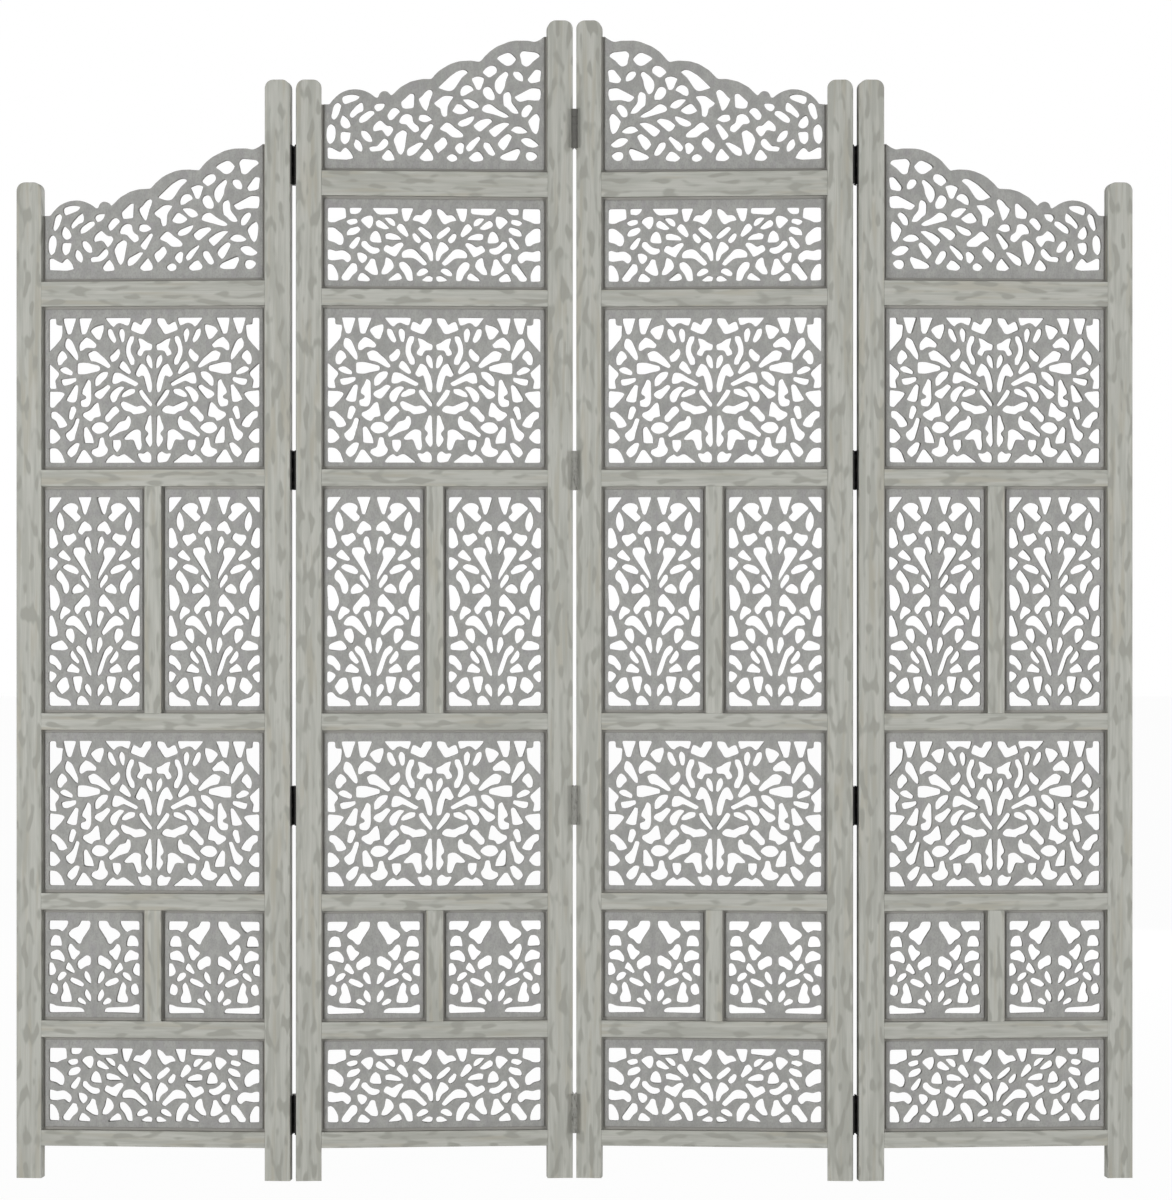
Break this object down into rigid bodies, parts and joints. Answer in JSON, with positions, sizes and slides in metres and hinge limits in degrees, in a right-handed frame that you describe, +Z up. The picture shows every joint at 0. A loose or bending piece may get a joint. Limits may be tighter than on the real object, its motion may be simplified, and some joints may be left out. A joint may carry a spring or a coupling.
{
  "type": "room divider",
  "caption": "Folding wooden screen of hinged frames filled with fretwork boards of leafy scrolls, with a stepped, scalloped crest, in grey-washed wood.",
  "frame": {"origin": "on the floor, in the middle of the ground that the standing screen covers", "axes": "+Z up, +X to the right seen from the front, front towards -Y"},
  "size_m": [1.5952, 0.0592, 1.6543],
  "materials": {
    "frame_wood": "grey lime-washed hardwood with brushed grain",
    "fretwork_wood": "grey-washed sawn fretwork with eased edges",
    "hinge_steel_black": "black lacquered steel",
    "hinge_steel_grey": "steel washed over with the frame's grey",
    "screw_steel": "blackened steel"
  },
  "bodies": {
    "panel_1": {"panel_1_border_board": "fretwork_wood", "panel_1_bottom_rail": "frame_wood", "panel_1_crest_board": "fretwork_wood", "panel_1_cross_rails": "frame_wood", "panel_1_hinge_screws": "screw_steel", "panel_1_left_stile": "frame_wood", "panel_1_lower_tree_board": "fretwork_wood", "panel_1_muntins": "frame_wood", "panel_1_right_stile": "frame_wood", "panel_1_square_boards": "fretwork_wood", "panel_1_tall_boards": "fretwork_wood", "panel_1_upper_tree_board": "fretwork_wood", "hinges_1_2_left_leaves": "hinge_steel_black", "hinges_1_2_pins": "hinge_steel_black"},
    "panel_2": {"panel_2_border_board": "fretwork_wood", "panel_2_bottom_rail": "frame_wood", "panel_2_crest_board": "fretwork_wood", "panel_2_cross_rails": "frame_wood", "panel_2_hinge_screws": "screw_steel", "panel_2_left_stile": "frame_wood", "panel_2_lower_tree_board": "fretwork_wood", "panel_2_muntins": "frame_wood", "panel_2_right_stile": "frame_wood", "panel_2_square_boards": "fretwork_wood", "panel_2_tall_boards": "fretwork_wood", "panel_2_upper_border_board": "fretwork_wood", "panel_2_upper_tree_board": "fretwork_wood", "hinges_1_2_right_leaves": "hinge_steel_black", "hinges_2_3_left_leaves": "hinge_steel_grey", "hinges_2_3_pins": "hinge_steel_grey"},
    "panel_3": {"panel_3_border_board": "fretwork_wood", "panel_3_bottom_rail": "frame_wood", "panel_3_crest_board": "fretwork_wood", "panel_3_cross_rails": "frame_wood", "panel_3_hinge_screws": "screw_steel", "panel_3_left_stile": "frame_wood", "panel_3_lower_tree_board": "fretwork_wood", "panel_3_muntins": "frame_wood", "panel_3_right_stile": "frame_wood", "panel_3_square_boards": "fretwork_wood", "panel_3_tall_boards": "fretwork_wood", "panel_3_upper_border_board": "fretwork_wood", "panel_3_upper_tree_board": "fretwork_wood", "hinges_2_3_right_leaves": "hinge_steel_grey", "hinges_3_4_left_leaves": "hinge_steel_black", "hinges_3_4_pins": "hinge_steel_black"},
    "panel_4": {"panel_4_border_board": "fretwork_wood", "panel_4_bottom_rail": "frame_wood", "panel_4_crest_board": "fretwork_wood", "panel_4_cross_rails": "frame_wood", "panel_4_hinge_screws": "screw_steel", "panel_4_left_stile": "frame_wood", "panel_4_lower_tree_board": "fretwork_wood", "panel_4_muntins": "frame_wood", "panel_4_right_stile": "frame_wood", "panel_4_square_boards": "fretwork_wood", "panel_4_tall_boards": "fretwork_wood", "panel_4_upper_tree_board": "fretwork_wood", "hinges_3_4_right_leaves": "hinge_steel_black"}
  },
  "joints": [
    {"name": "left_fold", "type": "hinge", "parent": "panel_2", "child": "panel_1", "pos_m": [-0.40002, -0.00003, 0], "axis": [0, 0, 1], "range_deg": [-170, 10]},
    {"name": "centre_fold", "type": "hinge", "parent": "panel_2", "child": "panel_3", "pos_m": [0, 0.00003, 0], "axis": [0, 0, 1], "range_deg": [-170, 10]},
    {"name": "right_fold", "type": "hinge", "parent": "panel_3", "child": "panel_4", "pos_m": [0.40002, -0.00003, 0], "axis": [0, 0, 1], "range_deg": [-10, 170]}
  ]
}
